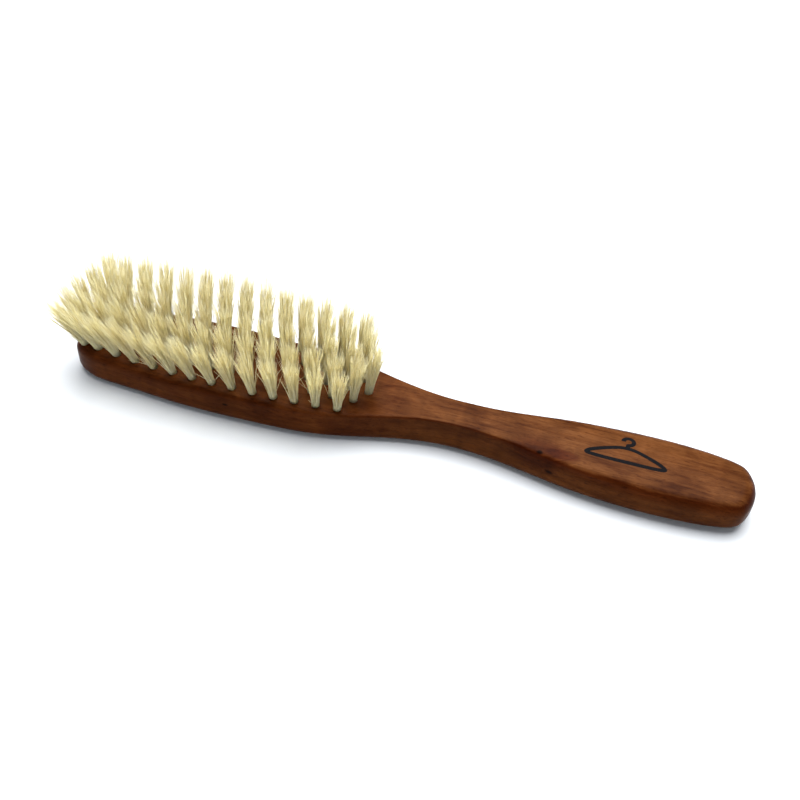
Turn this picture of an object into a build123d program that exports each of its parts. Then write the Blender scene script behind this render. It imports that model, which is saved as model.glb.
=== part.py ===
from build123d import *
from math import radians, tan
import os

# Clothes brush with a one-piece wooden body, drilled and set with bristle tufts.
# It lies on its flat back with the bristles up. Millimetres, +Z up, +X towards the
# end of the handle. The origin is on the back, halfway along the wooden body.

# Driving dimensions of the wooden body
LENGTH = 251.2
HEAD_WIDTH = 38.9
NECK_WIDTH = 13.0
GRIP_WIDTH = 28.8
FACE_HEIGHT = 12.5  # flat drilled face of the head above the back
NECK_HEIGHT = 13.8
GRIP_HEIGHT = 14.3
END_HEIGHT = 12.8
FACE_EDGE_RADIUS = 1.2
BACK_EDGE_RADIUS = 3.6

# Driving dimensions of the bristle field
RANK_COUNT = 29  # crosswise ranks, alternately three tufts and two after the first
FIRST_RANK = 4.2  # from the tip of the head to the first rank
RANK_PITCH = 3.9
TIP_RANK_BEND = 0.45  # the first rank follows the tip: setback per square of the row number
SECOND_RANK_SETBACK = 1.8  # extra room behind the crowded first rank
SIDE_ROW_OFFSET = 14.6  # outermost row from the centre line, where the head is widest
SIDE_ROW_RADIUS = 385.0  # the outermost rows follow an arc, like the head's sides
WIDEST_STATION = 58.6
SIDE_LEAN = 13.5  # degrees that the outermost rows lean outwards
FAN_RATE = 0.18  # degrees of lengthwise lean per millimetre along the head
UPRIGHT_STATION = 73.6  # where the tufts stand straight up, seen from the side

# One tuft and its anchor
HOLE_RADIUS = 1.7
HOLE_DEPTH = 8.0
FOLD_RADIUS = 1.65
FREE_LENGTH = 22.4
SPREAD_RADIUS = 2.75
ANCHOR_WIDTH = 4.2
ANCHOR_THICKNESS = 0.4
ANCHOR_HEIGHT = 1.8
FOLD_THICKNESS = 0.9  # bristle folded under the anchor
MOUTH_ALLOWANCE = 1.5  # the drill starts this far above the face

# The blank that the body is sawn from
BLANK_HALF_WIDTH = 25.0
BLANK_OVERHANG = 5.0
SAW_HEIGHT = 20.0


def along(station):
    """X of a point at this distance from the tip of the head."""
    return station - LENGTH / 2


# One side of the outline: distance from the tip, distance from the centre line
SIDE_POINTS = [
    (6.0, 14.7),
    (22.0, 17.6),
    (45.0, HEAD_WIDTH / 2 - 0.25),
    (75.0, HEAD_WIDTH / 2 - 0.45),
    (100.0, 16.7),
    (118.5, 11.6),
    (136.0, 7.4),
    (151.0, NECK_WIDTH / 2),
    (166.0, 8.1),
    (186.0, 12.0),
    (206.0, GRIP_WIDTH / 2 - 0.1),
    (227.0, GRIP_WIDTH / 2),
    (241.0, 12.8),
]

# Both ends are shallow arcs: how deep each one is, and half its chord
TIP_ARC_DEPTH = 1.2
TIP_ARC_REACH = 9.8
END_ARC_DEPTH = 2.7
END_ARC_REACH = 9.2

# The blank's top: distance from the tip, height, and how far its sides drop.
# It is flat where it is drilled and crowned along the grip.
BLANK_SECTIONS = [
    (-BLANK_OVERHANG, FACE_HEIGHT, 0.05),
    (25.0, FACE_HEIGHT, 0.05),
    (55.0, FACE_HEIGHT, 0.05),
    (85.0, FACE_HEIGHT, 0.05),
    (110.0, FACE_HEIGHT + 0.1, 0.05),
    (130.0, NECK_HEIGHT - 0.4, 0.3),
    (150.0, NECK_HEIGHT, 1.0),
    (175.0, NECK_HEIGHT + 0.2, 2.5),
    (200.0, GRIP_HEIGHT, 4.5),
    (228.0, GRIP_HEIGHT - 0.1, 5.0),
    (LENGTH + BLANK_OVERHANG, END_HEIGHT, 5.0),
]


def export(piece, name):
    piece.part.label = name
    export_step(piece.part, "parts/" + name + ".step")


def rank_rows(rank):
    """Rows of one rank: -2 and 2 are the outermost, 0 is on the centre line."""
    if rank == 0:
        return [-2, -1, 0, 1, 2]
    if rank % 2 == 1:
        return [-1, 1]
    if rank == RANK_COUNT - 1:
        return [0]
    return [-2, 0, 2]


def tuft_station(rank, row):
    """Distance from the tip of the head to one hole."""
    station = FIRST_RANK + rank * RANK_PITCH
    if rank == 0:
        return station + TIP_RANK_BEND * row**2
    if rank == 1:
        return station + SECOND_RANK_SETBACK
    return station


def tuft_plane(rank, row):
    """Plane on the drilled face at the mouth of one hole, its Z along the tuft."""
    station = tuft_station(rank, row)
    side_offset = SIDE_ROW_OFFSET - (station - WIDEST_STATION) ** 2 / (2 * SIDE_ROW_RADIUS)
    fan_angle = FAN_RATE * (station - UPRIGHT_STATION)
    lean_angle = SIDE_LEAN * row / 2
    mouth = (along(station), side_offset * row / 2, FACE_HEIGHT)
    direction = (tan(radians(fan_angle)), tan(radians(lean_angle)), 1)
    return Plane(origin=mouth, x_dir=(0, 1, 0), z_dir=direction)


RANKS = [[tuft_plane(rank, row) for row in rank_rows(rank)] for rank in range(RANK_COUNT)]
ALL_TUFTS = [plane for rank in RANKS for plane in rank]
ANCHOR_LEVEL = -HOLE_DEPTH + FOLD_THICKNESS + ANCHOR_HEIGHT / 2
ANCHOR_PLANES = [plane.offset(ANCHOR_LEVEL) for plane in ALL_TUFTS]

os.makedirs("parts", exist_ok=True)

# Blank: sets the height of the body's upper side along its length
with BuildPart() as blank:
    for station, height, drop in BLANK_SECTIONS:
        with BuildSketch(Plane.YZ.offset(along(station))):
            with BuildLine():
                left = (-BLANK_HALF_WIDTH, height - drop)
                right = (BLANK_HALF_WIDTH, height - drop)
                ThreePointArc(left, (0, height), right)
                Polyline(right, (BLANK_HALF_WIDTH, -1), (-BLANK_HALF_WIDTH, -1), left)
            make_face()
    loft()

# Wooden body: head, neck and grip in one piece
with BuildPart() as brush_body:
    with BuildSketch():
        with BuildLine():
            tip_arc = ThreePointArc(
                (along(TIP_ARC_DEPTH), -TIP_ARC_REACH),
                (along(0), 0),
                (along(TIP_ARC_DEPTH), TIP_ARC_REACH),
            )
            end_arc = ThreePointArc(
                (along(LENGTH - END_ARC_DEPTH), END_ARC_REACH),
                (along(LENGTH), 0),
                (along(LENGTH - END_ARC_DEPTH), -END_ARC_REACH),
            )
            side = Spline(
                [tip_arc @ 1, *[(along(station), width) for station, width in SIDE_POINTS], end_arc @ 0],
                tangents=[tip_arc % 1, end_arc % 0],
                tangent_scalars=[1, 1],
            )
            mirror(side, about=Plane.XZ)
        make_face()
    extrude(amount=SAW_HEIGHT)
    add(blank.part, mode=Mode.INTERSECT)
    upper_face = brush_body.faces().sort_by(Axis.Z)[-1]
    fillet(upper_face.edges(), radius=FACE_EDGE_RADIUS)
    back_face = brush_body.faces().sort_by(Axis.Z)[0]
    fillet(back_face.edges(), radius=BACK_EDGE_RADIUS)
    with Locations([plane.offset(MOUTH_ALLOWANCE) for plane in ALL_TUFTS]):
        Cylinder(
            HOLE_RADIUS,
            HOLE_DEPTH + MOUTH_ALLOWANCE,
            align=(Align.CENTER, Align.CENTER, Align.MAX),
            mode=Mode.SUBTRACT,
        )
    with Locations(ANCHOR_PLANES):
        Box(ANCHOR_WIDTH, ANCHOR_THICKNESS, ANCHOR_HEIGHT, mode=Mode.SUBTRACT)
export(brush_body, "brush_body")

# Anchors: flat wire staples, one across the bottom of each hole
with BuildPart() as wire_anchors:
    with Locations(ANCHOR_PLANES):
        Box(ANCHOR_WIDTH, ANCHOR_THICKNESS, ANCHOR_HEIGHT)
export(wire_anchors, "wire_anchors")

# Tufts: bundles folded under their anchors, spreading from the mouth to the tips
for index, planes in enumerate(RANKS):
    with BuildPart() as tuft_rank:
        with Locations(planes):
            Cylinder(
                FOLD_RADIUS,
                HOLE_DEPTH,
                align=(Align.CENTER, Align.CENTER, Align.MAX),
            )
            Cone(
                FOLD_RADIUS,
                SPREAD_RADIUS,
                FREE_LENGTH,
                align=(Align.CENTER, Align.CENTER, Align.MIN),
            )
        with Locations([plane.offset(ANCHOR_LEVEL) for plane in planes]):
            Box(ANCHOR_WIDTH, ANCHOR_THICKNESS, ANCHOR_HEIGHT, mode=Mode.SUBTRACT)
    export(tuft_rank, f"tuft_rank_{index + 1:02d}")
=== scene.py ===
import math

import bmesh
import bpy
import numpy as np
from mathutils import Matrix, Vector
from mathutils.bvhtree import BVHTree


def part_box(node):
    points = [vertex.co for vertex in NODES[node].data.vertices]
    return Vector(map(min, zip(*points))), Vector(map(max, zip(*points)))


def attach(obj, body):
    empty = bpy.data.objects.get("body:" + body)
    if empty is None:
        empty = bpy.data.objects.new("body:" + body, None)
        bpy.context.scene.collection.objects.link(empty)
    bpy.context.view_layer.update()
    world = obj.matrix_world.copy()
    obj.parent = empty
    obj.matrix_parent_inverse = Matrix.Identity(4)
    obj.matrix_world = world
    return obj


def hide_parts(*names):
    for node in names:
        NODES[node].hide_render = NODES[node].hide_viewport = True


# The clothes brush lies on its back with the bristles up, as in the CAD frame:
# +X towards the end of the handle, +Z up, metres.
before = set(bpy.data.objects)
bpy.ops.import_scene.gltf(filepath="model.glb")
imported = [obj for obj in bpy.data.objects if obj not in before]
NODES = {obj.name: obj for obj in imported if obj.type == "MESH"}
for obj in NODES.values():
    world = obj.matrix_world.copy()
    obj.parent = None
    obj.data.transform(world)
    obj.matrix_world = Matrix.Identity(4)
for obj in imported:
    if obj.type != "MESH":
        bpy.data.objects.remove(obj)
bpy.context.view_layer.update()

MM = 0.001
BODY = NODES["brush_body"]
TUFT_NODES = sorted(name for name in NODES if name.startswith("tuft_rank_"))

# Camera: fitted so that the body's outline falls where the photo shows it, then rounded.
# Its angles are in degrees, its lens and sensor in millimetres.
CAMERA_TARGET = Vector((-0.5, 0.7, 12.0)) * MM
CAMERA_DISTANCE = 349 * MM
CAMERA_TURN = -14.4
CAMERA_DOWN = 43.5
CAMERA_ROLL = 4.0
CAMERA_LENS = 43.7
SENSOR_WIDTH = 36
CLIP_START = 10 * MM

# Bristles
BRISTLES_PER_TUFT = 190
BRISTLE_SIDES = 3
BRISTLE_STEPS = 7
BRISTLE_RADIUS = 0.105 * MM
TIP_RADIUS = 0.02 * MM
MOUTH_RADIUS = 1.38 * MM
SUNK_DEPTH = 1.2 * MM  # how far below the face the bristles start
SPREAD_RADIUS = 3.7 * MM
FLARE = 1.7  # the tufts open faster towards their ends
CLUMPS_PER_TUFT = 24
GATHER_START = 0.2  # share of the length above which the hairs of a clump close up
GATHER = 0.6  # share of the way to the clump's middle that their ends have closed up
TRANSLUCENT_SHARE = 0.75

# How uneven the bristles are. Places are shares of the tuft's radius, and lengths of the tuft's length.
PLACE_SCATTER = 0.035
CLUMP_FIELD = 0.95  # the clumps' middles are spread over this share of the tuft's disc
CLUMP_SCATTER = 0.09
CLUMP_LENGTH_SCATTER = 0.04
MIDDLE_LENGTH = 1.07  # of a hair in the middle of both its clump and its tuft
CLUMP_EDGE_LOSS = 0.13
TUFT_EDGE_LOSS = 0.06
LENGTH_SCATTER = 0.07
LENGTH_LIMIT = 1.17
SHORT_SHARE = 0.25  # share of the hairs that are cut short, and to what lengths
SHORT_LENGTHS = (0.74, 0.96)
DRIFT_SCATTER = 0.20 * MM
STRAY_SHARE = 0.12
STRAY_SCATTER = 1.3 * MM
WILD_SHARE = 0.012  # share of the hairs that bend right out of the tuft
WILD_REACH = (2.5, 5.5)  # millimetres
WILD_LENGTHS = (0.35, 0.8)
BOW_SCATTER = 0.12 * MM
SPREAD_SCATTER = 0.05
FIRST_SEED = 100  # each rank of tufts has a seed of its own from here on

# The bristles are taken to be bent by use: they splay, and the -Y side fans out more along the brush
SET_RATE = 0.09  # degrees per millimetre from the upright tufts, at the outermost rows
SET_ROW = 14.6 * MM
UPRIGHT_X = -52.0 * MM
SIDE_SET = 3.5  # degrees that the outermost rows lean further outwards than their holes
SET_CURVE = 1.3  # the bend grows with this power of the height

# Wooden body: the CAD outline and heights, with edges worn in use
FACE_END_X = -30 * MM  # the height of the drilled face is read between the tip and here
RAY_REACH = 50 * MM  # clear of the body on every side
WALL_LEVEL = 7 * MM  # between the rounded edges
TIP_TURN = 12 * MM  # how far from the tip and the end the outline is sampled by angle
END_TURN = 14 * MM
TURN_RAYS = 26
SIDE_STEP = 1.2 * MM
ROUND_STEPS = 8
TOP_STEPS = 20
BACK_STEPS = 6
HOLES_MARGIN = 4 * MM  # this far past the last hole's middle, the upper side is clear of holes
CLEAR_ROW = 2.7 * MM  # distance from the centre line of a row between two rows of holes
WALL_MARGIN = 1.6 * MM  # heights are read at least this far inside the outline
SHARP_ANGLE = 40  # degrees
WORN_EDGES = [  # X, radius of the upper edge, radius of the lower edge, in millimetres
    (-126, 3.4, 3.6),
    (-45, 3.4, 4.2),
    (-18, 1.2, 4.2),
    (25, 0.8, 4.2),
    (50, 2.6, 4.6),
    (75, 4.6, 5.2),
    (126, 4.6, 5.8),
]

# Figure, stain and painted shade of the wood, in millimetres except where MM is written
HEAD_UNSHADED_MIDDLE = ((-65.0, 0.0, 12.0), (72.0, 22.5, 60.0))  # centre and size of the head's middle; outside it, painted shade darkens the head's margins
HEAD_END = (-24 * MM, 14 * MM)  # the stain and the painted shade change from the head's to the handle's between these
KNOT = (52.4, -8.9, 13.5)
KNOT_SIZE = (1.6, 1.0, 1.4)
KNOT_HALO = (13, 7, 9)
KNOT_LEAF = ((60.0, -7.8, 13.4), (8.0, 2.6, 4.0))  # reddish figure beside the knot: centre and size
DARK_FLECKS = [  # centre and size of each
    ((57, -10.6, 7.5), (2.4, 3.0, 1.2)),
    ((-21, -18.5, 7), (2.6, 2.0, 0.7)),
    ((-60, -19.3, 8), (1.6, 2.0, 0.7)),
]

# A printed coat-hanger sign on the grip, in millimetres: half of its outline and its hook, from its centre
SIGN_CENTRE = (80.9, 1.0)
SIGN_HALF = [(0.0, 2.2), (12.2, -2.9), (14.2, -5.3)]
SIGN_HOOK_RADIUS = 1.8
SIGN_HOOK_GAP = 1.0  # from the frame's top to the hook's circle
SIGN_HOOK_TURN = (-90, 185)  # degrees
SIGN_HOOK_POINTS = 28
SIGN_STROKE = 1.5
INK_RISE = 0.04 * MM
INK_SINK = 0.06 * MM

# Holes, a little narrower than the CAD's, so that no dark ring shows round the tufts
HOLE_RADIUS = 1.55 * MM
HOLE_DEPTH = 8 * MM
HOLE_SIDES = 20
DRILL_RISE = 2 * MM  # how far above the face the drill starts

# Setting, in metres: a white table top, two lights, and a sky coloured by height above the horizon
TABLE_HALF = 0.6
TABLE_DROP = 0.02 * MM
TABLE_COLOUR = (0.69, 0.71, 0.735, 1)
LIGHTS = [  # name, place, target, size, power
    ("overhead", (-0.02, 0.36, 1.1), (0, 0, 0), 1.4, 38),
    ("low_front", (-0.15, -1.1, 0.26), (-0.03, 0, 0.02), 0.5, 2.2),
]
SKY = [(0.0, (1.0, 1.0, 1.0)), (0.12, (0.9, 0.93, 0.96)), (0.4, (0.22, 0.25, 0.28))]


def add_object(name, data):
    item = bpy.data.objects.new(name, data)
    bpy.context.scene.collection.objects.link(item)
    return item


def surface_of(item):
    """A mesh object's faces, ready for ray casts."""
    return BVHTree.FromPolygons(
        [v.co for v in item.data.vertices], [p.vertices[:] for p in item.data.polygons]
    )


# ---------------------------------------------------------------- materials


def new_material(name):
    """A material with a plain Principled surface; returns it, its node tree and that shader."""
    material = bpy.data.materials.new(name)
    material.use_nodes = True
    tree = material.node_tree
    shader = tree.nodes["Principled BSDF"]
    return material, tree, shader


def add_node(tree, kind, inputs=None, **settings):
    node = tree.nodes.new(kind)
    for key, value in settings.items():
        setattr(node, key, value)
    for key, value in (inputs or {}).items():
        if isinstance(value, bpy.types.NodeSocket):
            tree.links.new(value, node.inputs[key])
        else:
            node.inputs[key].default_value = value
    return node


def mapped(tree, scale, location=(0, 0, 0), rotation=(0, 0, 0)):
    """Object coordinates, scaled per axis so that one unit is one feature."""
    place = add_node(tree, "ShaderNodeTexCoord")
    mapping = add_node(
        tree,
        "ShaderNodeMapping",
        {"Vector": place.outputs["Object"], "Scale": scale, "Location": location, "Rotation": rotation},
    )
    return mapping.outputs["Vector"]


def noise(tree, vector, detail, roughness=0.55, distortion=0.0):
    return add_node(
        tree,
        "ShaderNodeTexNoise",
        {
            "Vector": vector,
            "Scale": 1.0,
            "Detail": detail,
            "Roughness": roughness,
            "Distortion": distortion,
        },
    ).outputs["Fac"]


def ramp(tree, factor, stops):
    """Colour ramp; each stop is a position and a colour or grey level."""
    node = add_node(tree, "ShaderNodeValToRGB", {"Fac": factor})
    elements = node.color_ramp.elements
    while len(elements) < len(stops):
        elements.new(0.5)
    for element, (position, colour) in zip(elements, stops):
        element.position = position
        element.color = colour if len(colour) == 4 else (*colour, 1)
    return node.outputs["Color"]


def grey(value):
    return (value, value, value, 1)


def mix(tree, factor, first, second, blend_type="MIX"):
    node = add_node(tree, "ShaderNodeMix", data_type="RGBA", blend_type=blend_type)
    for socket, value in ((node.inputs[0], factor), (node.inputs[6], first), (node.inputs[7], second)):
        if isinstance(value, bpy.types.NodeSocket):
            tree.links.new(value, socket)
        else:
            socket.default_value = value
    return node.outputs[2]


def math_node(tree, operation, *values):
    node = add_node(tree, "ShaderNodeMath", operation=operation)
    for socket, value in zip(node.inputs, values):
        if isinstance(value, bpy.types.NodeSocket):
            tree.links.new(value, socket)
        else:
            socket.default_value = value
    return node.outputs[0]


def spot(tree, centre, size):
    """A soft round mask: 1 at a point of the body, 0 beyond a size given along each axis."""
    place = add_node(tree, "ShaderNodeTexCoord")
    offset = add_node(
        tree,
        "ShaderNodeVectorMath",
        {0: place.outputs["Object"], 1: [c * MM for c in centre]},
        operation="SUBTRACT",
    )
    scaled = add_node(
        tree,
        "ShaderNodeVectorMath",
        {0: offset.outputs["Vector"], 1: [s * MM for s in size]},
        operation="DIVIDE",
    )
    return add_node(
        tree, "ShaderNodeTexGradient", {"Vector": scaled.outputs["Vector"]}, gradient_type="SPHERICAL"
    ).outputs["Fac"]


def wood_figure(tree, knot_halo):
    """Fine streaks that turn round the knot, cloudy figure, short flecks and pores."""
    twist = add_node(
        tree, "ShaderNodeCombineXYZ", {"Y": math_node(tree, "MULTIPLY", knot_halo, 3.0), "Z": knot_halo}
    ).outputs["Vector"]
    swirl = add_node(
        tree, "ShaderNodeVectorMath", {0: mapped(tree, (30, 420, 420)), 1: twist}, operation="ADD"
    ).outputs["Vector"]
    streaks = noise(tree, swirl, detail=6, roughness=0.6, distortion=0.5)
    clouds = noise(tree, mapped(tree, (55, 110, 110)), detail=3, distortion=0.9)
    ripple = noise(tree, mapped(tree, (130, 45, 45), location=(4, 2, 1)), detail=2, distortion=0.6)
    flecks = noise(tree, mapped(tree, (330, 1500, 1500), rotation=(0, 0, 0.12)), detail=2)
    fine = noise(tree, mapped(tree, (260, 2600, 2600)), detail=3, roughness=0.7)
    pores = noise(tree, mapped(tree, (420, 3600, 3600), location=(3, 1, 7)), detail=1)
    colour = ramp(
        tree,
        streaks,
        [
            (0.30, (0.062, 0.0185, 0.0042)),
            (0.50, (0.088, 0.0290, 0.0076)),
            (0.70, (0.114, 0.0410, 0.0122)),
        ],
    )
    for factor, stops in (
        (clouds, [(0.34, (0.74, 0.66, 0.58)), (0.50, (1.0, 1.0, 1.0)), (0.66, (1.20, 1.22, 1.25))]),
        (ripple, [(0.36, (0.88, 0.86, 0.84)), (0.64, (1.12, 1.13, 1.15))]),
        (flecks, [(0.30, (0.66, 0.58, 0.52)), (0.42, (1.0, 1.0, 1.0))]),
        (fine, [(0.35, (0.86, 0.85, 0.84)), (0.65, (1.12, 1.12, 1.12))]),
        (pores, [(0.24, (0.55, 0.50, 0.48)), (0.32, (1.0, 1.0, 1.0))]),
    ):
        colour = mix(tree, 1.0, colour, ramp(tree, factor, stops), "MULTIPLY")
    return colour, streaks, clouds, fine, pores


def stain_and_shade_tint(tree, streaks, clouds):
    """Darker where the surface turns away from upwards, most along the shoulders. This is partly stain
    that soaks in deepest where the grain runs out of the surface, and partly painted shade on the sides
    and shoulders. On the head, painted shade also darkens the margins.
    """
    # Painted shade, partly a stain: the colour darkens as the surface turns away from up, darkest on the
    # shoulders and less on the sides
    up = add_node(
        tree, "ShaderNodeSeparateXYZ", {0: add_node(tree, "ShaderNodeNewGeometry").outputs["Normal"]}
    ).outputs["Z"]
    ragged = math_node(tree, "SUBTRACT", math_node(tree, "ADD", streaks, clouds), 1.0)
    ragged_up = math_node(tree, "MULTIPLY_ADD", ragged, 0.45, up)
    handle_stain_and_shade, head_stain_and_shade = (
        ramp(
            tree,
            ragged_up,
            [
                (0.00, (0.66, 0.56, 0.41)),
                (0.35, (0.58, 0.41, 0.26)),
                (0.72, shoulder),
                (0.97, (1.0, 1.0, 1.0)),
            ],
        )
        for shoulder in ((0.42, 0.24, 0.15), (0.56, 0.39, 0.25))
    )
    # Painted shade: the head darkens towards its margins, as if shaded by the leaning tufts
    margin_painted_shade = ramp(tree, spot(tree, *HEAD_UNSHADED_MIDDLE), [(0.12, (0.66, 0.50, 0.37)), (0.34, grey(1.0))])
    side_way = add_node(tree, "ShaderNodeSeparateXYZ", {0: mapped(tree, (1, 1, 1))}).outputs["X"]
    on_handle = add_node(
        tree,
        "ShaderNodeMapRange",
        {"Value": side_way, "From Min": HEAD_END[0], "From Max": HEAD_END[1]},
        interpolation_type="SMOOTHSTEP",
    ).outputs["Result"]
    # The head's painted margin shade darkens its stain wherever the stain is lighter
    head_stain_and_shade = mix(tree, 1.0, head_stain_and_shade, margin_painted_shade, "DARKEN")
    return mix(tree, on_handle, head_stain_and_shade, handle_stain_and_shade)


def with_marks(tree, colour, knot_halo):
    """The colour with the knot, its halo, the reddish leaf beside it and the dark flecks."""
    halo_tint = ramp(tree, knot_halo, [(0.0, (1.0, 1.0, 1.0)), (0.45, (0.72, 0.56, 0.50))])
    colour = mix(tree, 1.0, colour, halo_tint, "MULTIPLY")
    leaf_tint = ramp(tree, spot(tree, *KNOT_LEAF), [(0.1, grey(1.0)), (0.35, (0.70, 0.52, 0.46))])
    colour = mix(tree, 1.0, colour, leaf_tint, "MULTIPLY")
    for centre, size in ((KNOT, KNOT_SIZE), *DARK_FLECKS):
        fleck = ramp(tree, spot(tree, centre, size), [(0.1, grey(1.0)), (0.6, (0.16, 0.12, 0.12, 1))])
        colour = mix(tree, 1.0, colour, fleck, "MULTIPLY")
    return colour


def wood_material():
    """Stained, satin hardwood with a knot, and painted shade on its sides, shoulders and the head's
    margins.
    """
    material, tree, shader = new_material("stained_wood")
    knot_halo = spot(tree, KNOT, KNOT_HALO)
    colour, streaks, clouds, fine, pores = wood_figure(tree, knot_halo)
    # The stain together with the painted shade of the sides, shoulders and head margins
    colour = mix(tree, 1.0, colour, stain_and_shade_tint(tree, streaks, clouds), "MULTIPLY")
    colour = with_marks(tree, colour, knot_halo)
    tree.links.new(colour, shader.inputs["Base Color"])
    rough = ramp(tree, fine, [(0.3, grey(0.27)), (0.7, grey(0.36))])
    tree.links.new(rough, shader.inputs["Roughness"])
    shader.inputs["Specular IOR Level"].default_value = 0.02
    height = math_node(tree, "MULTIPLY_ADD", fine, 0.6, math_node(tree, "MULTIPLY", pores, 0.4))
    bump = add_node(tree, "ShaderNodeBump", {"Height": height, "Strength": 0.25, "Distance": 0.0002})
    tree.links.new(bump.outputs["Normal"], shader.inputs["Normal"])
    return material


def bristle_material():
    """Natural bristle: pale and translucent, a little greener at the root, every hair its own tone."""
    material, tree, shader = new_material("natural_bristle")
    attribute = add_node(tree, "ShaderNodeAttribute", attribute_name="bristle")
    channels = add_node(tree, "ShaderNodeSeparateColor", {"Color": attribute.outputs["Color"]})
    tone, along, tuft = (channels.outputs[name] for name in ("Red", "Green", "Blue"))
    length_colour = ramp(
        tree,
        along,
        [
            (0.0, (0.88, 0.87, 0.70)),
            (0.10, (0.985, 0.965, 0.80)),
            (0.35, (0.995, 0.960, 0.765)),
            (0.80, (0.995, 0.958, 0.725)),
            (1.0, (0.995, 0.970, 0.80)),
        ],
    )
    hair_tint = ramp(
        tree, tone, [(0.0, (0.78, 0.72, 0.56)), (0.30, (0.98, 0.97, 0.94)), (1.0, (1.0, 1.0, 1.0))]
    )
    tuft_tint = ramp(tree, tuft, [(0.0, (0.98, 0.97, 0.95)), (1.0, (1.0, 1.0, 1.0))])
    colour = mix(tree, 1.0, length_colour, hair_tint, "MULTIPLY")
    colour = mix(tree, 1.0, colour, tuft_tint, "MULTIPLY")
    tree.links.new(colour, shader.inputs["Base Color"])
    rough = ramp(tree, tone, [(0.0, grey(0.52)), (1.0, grey(0.38))])
    tree.links.new(rough, shader.inputs["Roughness"])
    shader.inputs["Specular IOR Level"].default_value = 0.5
    glow = add_node(tree, "ShaderNodeBsdfTranslucent", {"Color": colour})
    both = add_node(
        tree,
        "ShaderNodeMixShader",
        {0: TRANSLUCENT_SHARE, 1: shader.outputs["BSDF"], 2: glow.outputs["BSDF"]},
    )
    output = tree.nodes["Material Output"]
    tree.links.new(both.outputs["Shader"], output.inputs["Surface"])
    return material


def wire_material():
    """Drawn steel wire, faintly streaked along its length."""
    material, tree, shader = new_material("drawn_wire")
    streaks = noise(tree, mapped(tree, (3000, 300, 3000)), detail=3)
    colour = ramp(tree, streaks, [(0.3, (0.42, 0.40, 0.37)), (0.7, (0.62, 0.60, 0.56))])
    tree.links.new(colour, shader.inputs["Base Color"])
    shader.inputs["Metallic"].default_value = 1.0
    rough = ramp(tree, streaks, [(0.3, grey(0.30)), (0.7, grey(0.42))])
    tree.links.new(rough, shader.inputs["Roughness"])
    return material


def ink_material():
    """Black printing ink that lets a little of the grain through."""
    material, tree, shader = new_material("printing_ink")
    cover = noise(tree, mapped(tree, (900, 2600, 2600)), detail=3, roughness=0.7)
    colour = ramp(tree, cover, [(0.30, (0.022, 0.014, 0.010)), (0.42, (0.006, 0.006, 0.007))])
    tree.links.new(colour, shader.inputs["Base Color"])
    rough = ramp(tree, cover, [(0.3, grey(0.5)), (0.7, grey(0.62))])
    tree.links.new(rough, shader.inputs["Roughness"])
    shader.inputs["Specular IOR Level"].default_value = 0.01
    return material


def floor_material():
    material, _, shader = new_material("white_table")
    shader.inputs["Base Color"].default_value = TABLE_COLOUR
    shader.inputs["Roughness"].default_value = 0.9
    shader.inputs["Specular IOR Level"].default_value = 0.1
    return material


# ---------------------------------------------------------------- bristles


def solids_of(node):
    """The vertex clouds of a node's separate solids, in order of their place along Y."""
    mesh = bmesh.new()
    mesh.from_mesh(NODES[node].data)
    bmesh.ops.remove_doubles(mesh, verts=mesh.verts, dist=0.001 * MM)
    mesh.verts.ensure_lookup_table()
    seen, clouds = set(), []
    for start in mesh.verts:
        if start.index in seen:
            continue
        seen.add(start.index)
        cloud, queue = [], [start]
        while queue:
            vertex = queue.pop()
            cloud.append(vertex.co.copy())
            for edge in vertex.link_edges:
                other = edge.other_vert(vertex)
                if other.index not in seen:
                    seen.add(other.index)
                    queue.append(other)
        clouds.append(np.array(cloud))
    mesh.free()
    return sorted(clouds, key=lambda cloud: cloud[:, 1].mean())


def tuft_axis(cloud, face_height):
    """Mouth and tip of one tuft, from the middle of its solid's two end faces."""
    centre = cloud.mean(axis=0)
    main = np.linalg.svd(cloud - centre, full_matrices=False)[2][0]
    if main[2] < 0:
        main = -main
    reach = (cloud - centre) @ main
    end_band = 0.4 * MM
    top = cloud[reach > reach.max() - end_band]
    foot = cloud[reach < reach.min() + end_band]
    tip = (top.min(axis=0) + top.max(axis=0)) / 2
    root = (foot.min(axis=0) + foot.max(axis=0)) / 2
    direction = (tip - root) / np.linalg.norm(tip - root)
    mouth = root + direction * (face_height - root[2]) / direction[2]
    return mouth, tip


def side_axes(direction):
    """Two unit vectors across a direction."""
    across = np.cross(direction, [1.0, 0.0, 0.0])
    across /= np.linalg.norm(across)
    return across, np.cross(direction, across)


def disc_points(count, random):
    """Points spread evenly over a unit disc, slightly shaken."""
    index = np.arange(count) + 0.5
    radius = np.sqrt(index / count)
    angle = index * math.pi * (3 - math.sqrt(5))
    points = np.stack([radius * np.cos(angle), radius * np.sin(angle)], axis=1)
    return points + random.normal(0, PLACE_SCATTER, (count, 2))


def clumps(root, random):
    """The clump that each hair belongs to: the way to its middle, its shift, its length and the hair's
    distance from its middle."""
    middle = disc_points(CLUMPS_PER_TUFT, random) * CLUMP_FIELD
    gap = np.linalg.norm(root[:, None] - middle[None], axis=2)
    nearest = np.argmin(gap, axis=1)
    to_clump = middle[nearest] - root
    shift = random.normal(0, CLUMP_SCATTER, (CLUMPS_PER_TUFT, 2))[nearest]
    longer = random.normal(0, CLUMP_LENGTH_SCATTER, CLUMPS_PER_TUFT)[nearest]
    off_middle = gap.min(axis=1) / gap.min(axis=1).max()
    return to_clump, shift, longer, off_middle


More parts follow.
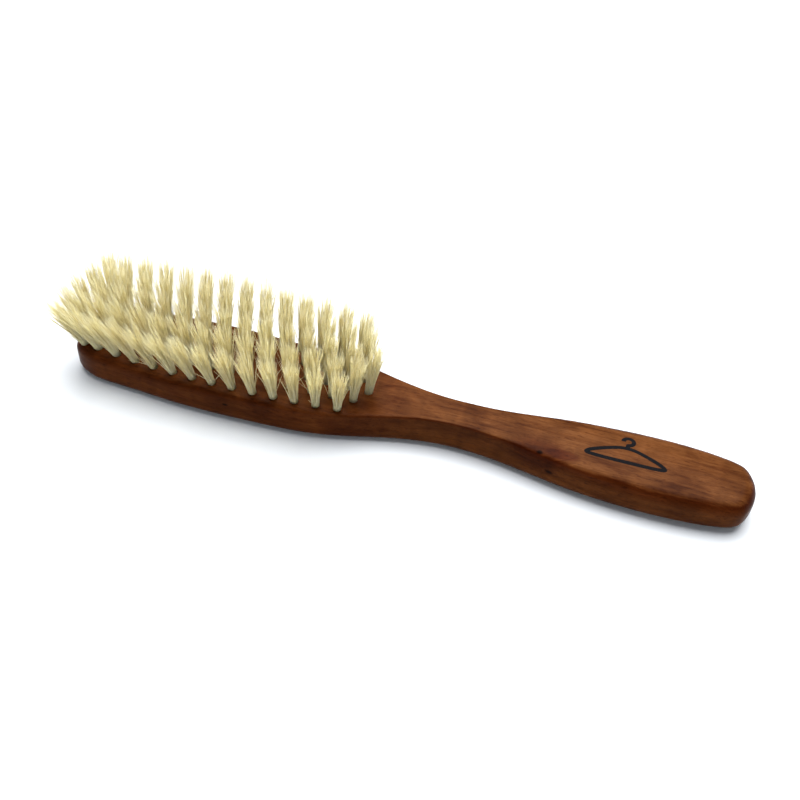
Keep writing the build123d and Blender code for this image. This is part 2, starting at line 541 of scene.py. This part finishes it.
def hair_lengths(length, root, longer, off_middle, random):
    """Free lengths: less towards the edge of a clump and of the tuft, and some hairs are cut short."""
    from_middle = np.linalg.norm(root, axis=1)
    lengths = length * (
        MIDDLE_LENGTH
        + longer
        - CLUMP_EDGE_LOSS * off_middle
        - TUFT_EDGE_LOSS * from_middle**2
        + random.normal(0, LENGTH_SCATTER, len(root))
    )
    lengths = np.minimum(lengths, length * LENGTH_LIMIT)
    short = random.random(len(root)) < SHORT_SHARE
    lengths[short] *= random.uniform(*SHORT_LENGTHS, short.sum())
    return lengths


def hair_drift(lengths, random):
    """How far each hair's end wanders. Some stray, and a few bend right out and are shortened here."""
    count = len(lengths)
    drift = random.normal(0, DRIFT_SCATTER, (count, 2))
    stray = random.random(count) < STRAY_SHARE
    drift[stray] += random.normal(0, STRAY_SCATTER, (stray.sum(), 2))
    wild = random.random(count) < WILD_SHARE
    heading = random.uniform(0, 2 * math.pi, wild.sum())
    reach = random.uniform(*WILD_REACH, (wild.sum(), 1)) * MM
    drift[wild] = np.stack([np.cos(heading), np.sin(heading)], axis=1) * reach
    lengths[wild] *= random.uniform(*WILD_LENGTHS, wild.sum())
    return drift


def tuft_hairs(mouth, tip, random):
    """Centre lines of one tuft's bristles as an array of hair, step and xyz, the share of its length
    that each step is at, and a tone for each hair."""
    length = np.linalg.norm(tip - mouth)
    direction = (tip - mouth) / length
    across, aside = side_axes(direction)
    root = disc_points(BRISTLES_PER_TUFT, random)
    to_clump, clump_shift, longer, off_middle = clumps(root, random)
    lengths = hair_lengths(length, root, longer, off_middle, random)
    drift = hair_drift(lengths, random)
    bow = random.normal(0, BOW_SCATTER, root.shape)

    step = np.linspace(0, 1, BRISTLE_STEPS + 1)
    along = step * (lengths[:, None] + SUNK_DEPTH) - SUNK_DEPTH
    above = np.clip(along / lengths[:, None], 0, 1)
    spread = SPREAD_RADIUS * random.normal(1.0, SPREAD_SCATTER)
    radius = MOUTH_RADIUS + (spread - MOUTH_RADIUS) * above**FLARE
    gather = GATHER * np.clip(above - GATHER_START, 0, 1) / (1 - GATHER_START)
    place = root[:, None] + to_clump[:, None] * gather[..., None] + clump_shift[:, None] * above[..., None]
    sideways = (
        place * radius[..., None]
        + drift[:, None] * above[..., None]
        + bow[:, None] * np.sin(math.pi * above)[..., None]
    )
    line = (
        mouth
        + along[..., None] * direction
        + sideways[..., :1] * across
        + sideways[..., 1:] * aside
    )
    set_angle = -SET_RATE * (mouth[0] - UPRIGHT_X) / MM * mouth[1] / SET_ROW
    line[..., 0] += length * math.tan(math.radians(set_angle)) * above**SET_CURVE
    side_angle = SIDE_SET * mouth[1] / SET_ROW
    line[..., 1] += length * math.tan(math.radians(side_angle)) * above**SET_CURVE
    return line, above, random.random(len(root))


def hair_mesh(lines, above, tones, tuft_tones):
    """Three-sided tapering hairs along the centre lines, with their tone stored as a colour."""
    hairs, steps, _ = lines.shape
    tangent = np.gradient(lines, axis=1)
    tangent /= np.linalg.norm(tangent, axis=2, keepdims=True)
    across = np.cross(tangent, [1.0, 0.0, 0.0])
    across /= np.linalg.norm(across, axis=2, keepdims=True)
    aside = np.cross(tangent, across)
    thickness = BRISTLE_RADIUS + (TIP_RADIUS - BRISTLE_RADIUS) * above**2
    turn = tones[:, None] * 2 * math.pi + np.arange(BRISTLE_SIDES) * 2 * math.pi / BRISTLE_SIDES
    ring = (
        np.cos(turn)[:, None, :, None] * across[:, :, None]
        + np.sin(turn)[:, None, :, None] * aside[:, :, None]
    )
    points = lines[:, :, None] + ring * thickness[:, :, None, None]
    points = points.reshape(-1, 3)
    colours = np.ones((hairs, steps, BRISTLE_SIDES, 4))
    colours[..., 0] = tones[:, None, None]
    colours[..., 1] = above[:, :, None]
    colours[..., 2] = tuft_tones[:, None, None]

    side = np.arange(BRISTLE_SIDES)
    after = (side + 1) % BRISTLE_SIDES
    level = np.arange(steps - 1)[:, None] * BRISTLE_SIDES
    quads = np.stack(
        [level + side, level + after, level + after + BRISTLE_SIDES, level + side + BRISTLE_SIDES], axis=2
    ).reshape(-1, 4)
    first = np.arange(hairs)[:, None, None] * steps * BRISTLE_SIDES
    faces = (first + quads[None]).reshape(-1, 4).tolist()
    bottoms = (first[:, 0] + side[::-1]).tolist()
    tops = (first[:, 0] + (steps - 1) * BRISTLE_SIDES + side).tolist()
    return points, faces + bottoms + tops, colours.reshape(-1, 4)


def build_tuft_rank(node, tufts, material, random):
    """One piece of loose bristles in place of one rank of CAD tufts."""
    parts = []
    for mouth, tip in tufts:
        line, above, tones = tuft_hairs(mouth, tip, random)
        parts.append((line, above, tones, np.full(len(tones), random.random())))
    points, faces, colours = hair_mesh(*(np.concatenate(items) for items in zip(*parts)))
    mesh = bpy.data.meshes.new("bristles_" + node[-2:])
    mesh.from_pydata(points.tolist(), [], faces)
    attribute = mesh.color_attributes.new("bristle", "FLOAT_COLOR", "POINT")
    attribute.data.foreach_set("color", colours.ravel())
    mesh.polygons.foreach_set("use_smooth", [True] * len(mesh.polygons))
    mesh.materials.append(material)
    piece = add_object("bristles_" + node[-2:], mesh)
    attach(piece, "root")
    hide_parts(node)


# ---------------------------------------------------------------- wooden body


def half_outline(solid):
    """The CAD outline at wall level, from the head's tip to the handle's end, on the +Y side."""
    low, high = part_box("brush_body")
    points = []
    for angle in np.linspace(math.pi, math.pi / 2, TURN_RAYS):
        direction = Vector((math.cos(angle), math.sin(angle), 0))
        centre = Vector((low[0] + TIP_TURN, 0, WALL_LEVEL))
        points.append(solid.ray_cast(centre + direction * RAY_REACH, -direction)[0])
    steps = round((high[0] - END_TURN - low[0] - TIP_TURN) / SIDE_STEP)
    for x in np.linspace(low[0] + TIP_TURN, high[0] - END_TURN, steps + 1)[1:-1]:
        points.append(solid.ray_cast(Vector((x, RAY_REACH, WALL_LEVEL)), Vector((0, -1, 0)))[0])
    for angle in np.linspace(math.pi / 2, 0, TURN_RAYS):
        direction = Vector((math.cos(angle), math.sin(angle), 0))
        centre = Vector((high[0] - END_TURN, 0, WALL_LEVEL))
        points.append(solid.ray_cast(centre + direction * RAY_REACH, -direction)[0])
    half = np.array(points)[:, :2]
    half[0, 1] = half[-1, 1] = 0
    return half


def whole_loop(half):
    """The half outline and its mirror image: a closed loop, clockwise from the tip, seen from above."""
    return np.concatenate([half, half[-2:0:-1] * (1, -1)])


def outward_normals(loop):
    tangent = np.roll(loop, -1, axis=0) - np.roll(loop, 1, axis=0)
    normal = np.stack([-tangent[:, 1], tangent[:, 0]], axis=1)
    normal /= np.linalg.norm(normal, axis=1, keepdims=True)
    smooth = (np.roll(normal, 1, axis=0) + 2 * normal + np.roll(normal, -1, axis=0)) / 4
    return smooth / np.linalg.norm(smooth, axis=1, keepdims=True)


def upper_heights(solid, points, holes_end):
    """Height of the CAD's upper side. On the head it is read between two rows of holes."""
    heights = []
    for x, y in points:
        wall = solid.ray_cast(Vector((x, RAY_REACH, WALL_LEVEL)), Vector((0, -1, 0)))[0]
        inside = max(wall.y - WALL_MARGIN, 0) if wall else 0
        column = CLEAR_ROW if x < holes_end else min(abs(y), inside)
        hit = solid.ray_cast(Vector((x, min(column, inside), RAY_REACH)), Vector((0, 0, -1)))[0]
        heights.append(hit.z)
    return np.array(heights)


def cap_faces(rows, flip):
    """Faces between a first point, rows of points that run across, and a last point."""
    faces = []
    first, *middle, last = rows
    for one, other in zip(middle, middle[1:]):
        faces += [(one[k], one[k + 1], other[k + 1], other[k]) for k in range(len(one) - 1)]
    faces += [(first[0], middle[0][k + 1], middle[0][k]) for k in range(len(middle[0]) - 1)]
    faces += [(last[0], middle[-1][k], middle[-1][k + 1]) for k in range(len(middle[-1]) - 1)]
    return [face[::-1] for face in faces] if flip else faces


def drill_holes(body, tufts):
    """Cut the blind holes that the tufts are set in."""
    cutters = bmesh.new()
    for mouth, tip in tufts:
        axis = Vector(tip - mouth).normalized()
        middle = Vector(mouth) + axis * (DRILL_RISE - HOLE_DEPTH) / 2
        turned = axis.to_track_quat("Z", "X").to_matrix().to_4x4()
        bmesh.ops.create_cone(
            cutters,
            cap_ends=True,
            segments=HOLE_SIDES,
            radius1=HOLE_RADIUS,
            radius2=HOLE_RADIUS,
            depth=HOLE_DEPTH + DRILL_RISE,
            matrix=Matrix.Translation(middle) @ turned,
        )
    mesh = bpy.data.meshes.new("drills")
    cutters.to_mesh(mesh)
    cutters.free()
    drills = add_object("drills", mesh)
    cut = body.modifiers.new("holes", "BOOLEAN")
    cut.operation = "DIFFERENCE"
    cut.solver = "MANIFOLD"
    cut.object = drills
    bpy.context.view_layer.update()
    evaluated = body.evaluated_get(bpy.context.evaluated_depsgraph_get())
    drilled = bpy.data.meshes.new_from_object(evaluated)
    body.modifiers.clear()
    body.data = drilled
    bpy.data.objects.remove(drills)


def side_rings(loop, rim_height, upper, lower):
    """Rings of points round the body, from the flat back up to the rim of the upper side."""
    normal = outward_normals(loop)
    rings = []
    for angle in np.linspace(-math.pi / 2, 0, ROUND_STEPS):
        inset = lower * (1 - math.cos(angle))
        rings.append(np.hstack([loop - normal * inset, lower * (1 + math.sin(angle))]))
    for angle in np.linspace(0, math.pi / 2, ROUND_STEPS):
        height = rim_height - upper * (1 - math.sin(angle))
        rings.append(np.hstack([loop - normal * upper * (1 - math.cos(angle)), height]))
    return rings


def ring_faces(levels, count):
    faces = []
    for level in range(levels - 1):
        for k in range(count):
            after = (k + 1) % count
            low, high = level * count, (level + 1) * count
            faces.append((low + k, high + k, high + after, low + after))
    return faces


def rows_across(points, start, half_count, steps, height_at=None):
    """Rows from one side of a ring to the other. Their inner points are added to the list of points."""
    count = 2 * half_count - 2
    rows = [[start]]
    for k in range(1, half_count - 1):
        one, other = start + k, start + count - k
        row = [one]
        for step in range(1, steps):
            place = points[one] + (points[other] - points[one]) * step / steps
            if height_at:
                place[2] = height_at(place[:2])
            row.append(len(points))
            points.append(place)
        rows.append(row + [other])
    return rows + [[start + half_count - 1]]


def build_body(material, tufts):
    """The wooden body on the CAD outline, its edges rounded by a radius that varies along it."""
    solid = surface_of(BODY)
    half = half_outline(solid)
    loop = whole_loop(half)
    stations, upper_radii, lower_radii = np.array(WORN_EDGES).T * MM
    upper = np.interp(loop[:, 0], stations, upper_radii)[:, None]
    lower = np.interp(loop[:, 0], stations, lower_radii)[:, None]
    holes_end = max(mouth[0] for mouth, _ in tufts) + HOLES_MARGIN
    rim = loop - outward_normals(loop) * upper
    rings = side_rings(loop, upper_heights(solid, rim, holes_end)[:, None], upper, lower)

    points = list(np.concatenate(rings))
    faces = ring_faces(len(rings), len(loop))
    top_start = (len(rings) - 1) * len(loop)
    top_rows = rows_across(
        points, top_start, len(half), TOP_STEPS, lambda place: upper_heights(solid, [place], holes_end)[0]
    )
    faces += cap_faces(top_rows, flip=False)
    faces += cap_faces(rows_across(points, 0, len(half), BACK_STEPS), flip=True)

    mesh = bpy.data.meshes.new("body")
    mesh.from_pydata([tuple(point) for point in points], [], faces)
    body = add_object("body", mesh)
    drill_holes(body, tufts)
    body.data.polygons.foreach_set("use_smooth", [True] * len(body.data.polygons))
    body.data.set_sharp_from_angle(angle=math.radians(SHARP_ANGLE))
    body.data.materials.clear()
    body.data.materials.append(material)
    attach(body, "root")
    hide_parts("brush_body")
    return body


# ---------------------------------------------------------------- printed sign


def rounded_loop(corners, rounds=4):
    """A closed path with its corners cut away again and again until they are round."""
    path = np.array(corners)
    for _ in range(rounds):
        after = np.roll(path, -1, axis=0)
        path = np.stack([path * 0.8 + after * 0.2, path * 0.2 + after * 0.8], axis=1).reshape(-1, 2)
    return path


def evenly(path, closed, step=0.4):
    """The same path with points at most a step apart."""
    ends = np.roll(path, -1, axis=0) if closed else path[1:]
    points = []
    for start, end in zip(path, ends):
        pieces = max(1, math.ceil(np.linalg.norm(end - start) / step))
        points += [start + (end - start) * k / pieces for k in range(pieces)]
    return np.array(points if closed else [*points, path[-1]])


def ink_stroke(path, closed, surface):
    """Points and faces of a thin closed solid along a path, laid on the surface below it."""
    if closed:
        tangent = np.roll(path, -1, axis=0) - np.roll(path, 1, axis=0)
    else:
        tangent = np.gradient(path, axis=0)
    tangent /= np.linalg.norm(tangent, axis=1, keepdims=True)
    normal = np.stack([-tangent[:, 1], tangent[:, 0]], axis=1) * SIGN_STROKE / 2
    points = []
    for side in (normal, -normal):
        for x, y in (path + side + SIGN_CENTRE) * MM:
            hit = surface.ray_cast(Vector((x, y, RAY_REACH)), Vector((0, 0, -1)))[0]
            points += [(x, y, hit.z + INK_RISE), (x, y, hit.z - INK_SINK)]
    count = len(path)
    faces = []
    for k in range(count if closed else count - 1):
        left, left_next = 2 * k, 2 * ((k + 1) % count)
        right, right_next = left + 2 * count, left_next + 2 * count
        faces += [
            (left, right, right_next, left_next),
            (left + 1, left_next + 1, right_next + 1, right + 1),
            (left, left_next, left_next + 1, left + 1),
            (right, right + 1, right_next + 1, right_next),
        ]
    if not closed:
        first, last = (0, 2 * count), (2 * count - 2, 4 * count - 2)
        faces.append((first[0], first[0] + 1, first[1] + 1, first[1]))
        faces.append((last[0], last[1], last[1] + 1, last[0] + 1))
    return points, faces


def build_sign(body, material):
    """The sign is a coat hanger: a closed frame and an open hook above its top."""
    surface = surface_of(body)
    frame_path = rounded_loop([*SIGN_HALF, *[(-x, y) for x, y in SIGN_HALF[:0:-1]]])
    stem_foot = frame_path[:, 1].max() + SIGN_STROKE / 2
    hook_middle = stem_foot + SIGN_HOOK_GAP + SIGN_HOOK_RADIUS
    hook_turn = np.radians(np.linspace(*SIGN_HOOK_TURN, SIGN_HOOK_POINTS))
    arc = np.stack([np.cos(hook_turn), np.sin(hook_turn)], axis=1) * SIGN_HOOK_RADIUS
    hook_path = np.concatenate([[(0, stem_foot)], arc + (0, hook_middle)])
    points, faces = [], []
    for path, closed in ((frame_path, True), (hook_path, False)):
        stroke_points, stroke_faces = ink_stroke(evenly(path, closed), closed, surface)
        faces += [tuple(index + len(points) for index in face) for face in stroke_faces]
        points += stroke_points
    mesh = bpy.data.meshes.new("printed_sign")
    mesh.from_pydata(points, [], faces)
    mesh.materials.append(material)
    sign = add_object("printed_sign", mesh)
    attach(sign, "root")


# ---------------------------------------------------------------- setting


def add_camera():
    turn, down, roll = (math.radians(angle) for angle in (CAMERA_TURN, CAMERA_DOWN, CAMERA_ROLL))
    forward = Vector(
        (math.sin(turn) * math.cos(down), math.cos(turn) * math.cos(down), -math.sin(down))
    )
    right = Vector((math.cos(turn), -math.sin(turn), 0))
    up = right.cross(forward)
    rolled_right = right * math.cos(roll) + up * math.sin(roll)
    rolled_up = up * math.cos(roll) - right * math.sin(roll)
    camera_data = bpy.data.cameras.new("camera")
    camera_data.lens = CAMERA_LENS
    camera_data.sensor_width = SENSOR_WIDTH
    camera_data.clip_start = CLIP_START
    camera = add_object("camera", camera_data)
    turned = Matrix((rolled_right, rolled_up, -forward)).transposed().to_4x4()
    camera.matrix_world = Matrix.Translation(CAMERA_TARGET - forward * CAMERA_DISTANCE) @ turned
    bpy.context.scene.camera = camera


def add_area_light(name, place, target, size, power):
    light = bpy.data.lights.new(name, "AREA")
    light.shape = "DISK"
    light.size = size
    light.energy = power
    lamp = add_object(name, light)
    lamp.location = place
    lamp.rotation_mode = "QUATERNION"
    lamp.rotation_quaternion = (Vector(target) - Vector(place)).to_track_quat("-Z", "Y")


def add_table():
    half = TABLE_HALF
    mesh = bpy.data.meshes.new("table_top")
    mesh.from_pydata(
        [(-half, -half, 0), (half, -half, 0), (half, half, 0), (-half, half, 0)], [], [(0, 1, 2, 3)]
    )
    mesh.materials.append(floor_material())
    table = add_object("table_top", mesh)
    table.location.z = -TABLE_DROP


def add_sky():
    world = bpy.data.worlds.new("studio")
    world.use_nodes = True
    tree = world.node_tree
    direction = add_node(tree, "ShaderNodeTexCoord").outputs["Generated"]
    height = add_node(tree, "ShaderNodeSeparateXYZ", {0: direction}).outputs["Z"]
    tree.links.new(ramp(tree, height, SKY), tree.nodes["Background"].inputs["Color"])
    bpy.context.scene.world = world


add_camera()
face_height = max(v.co.z for v in BODY.data.vertices if v.co.x < FACE_END_X)
tufts = {name: [tuft_axis(cloud, face_height) for cloud in solids_of(name)] for name in TUFT_NODES}
body = build_body(wood_material(), [tuft for rank in tufts.values() for tuft in rank])
build_sign(body, ink_material())
NODES["wire_anchors"].data.materials[0] = wire_material()
bristle = bristle_material()
for order, name in enumerate(TUFT_NODES):
    build_tuft_rank(name, tufts[name], bristle, np.random.default_rng(FIRST_SEED + order))
add_table()
add_sky()
for light in LIGHTS:
    add_area_light(*light)
bpy.context.scene.view_settings.view_transform = "Standard"
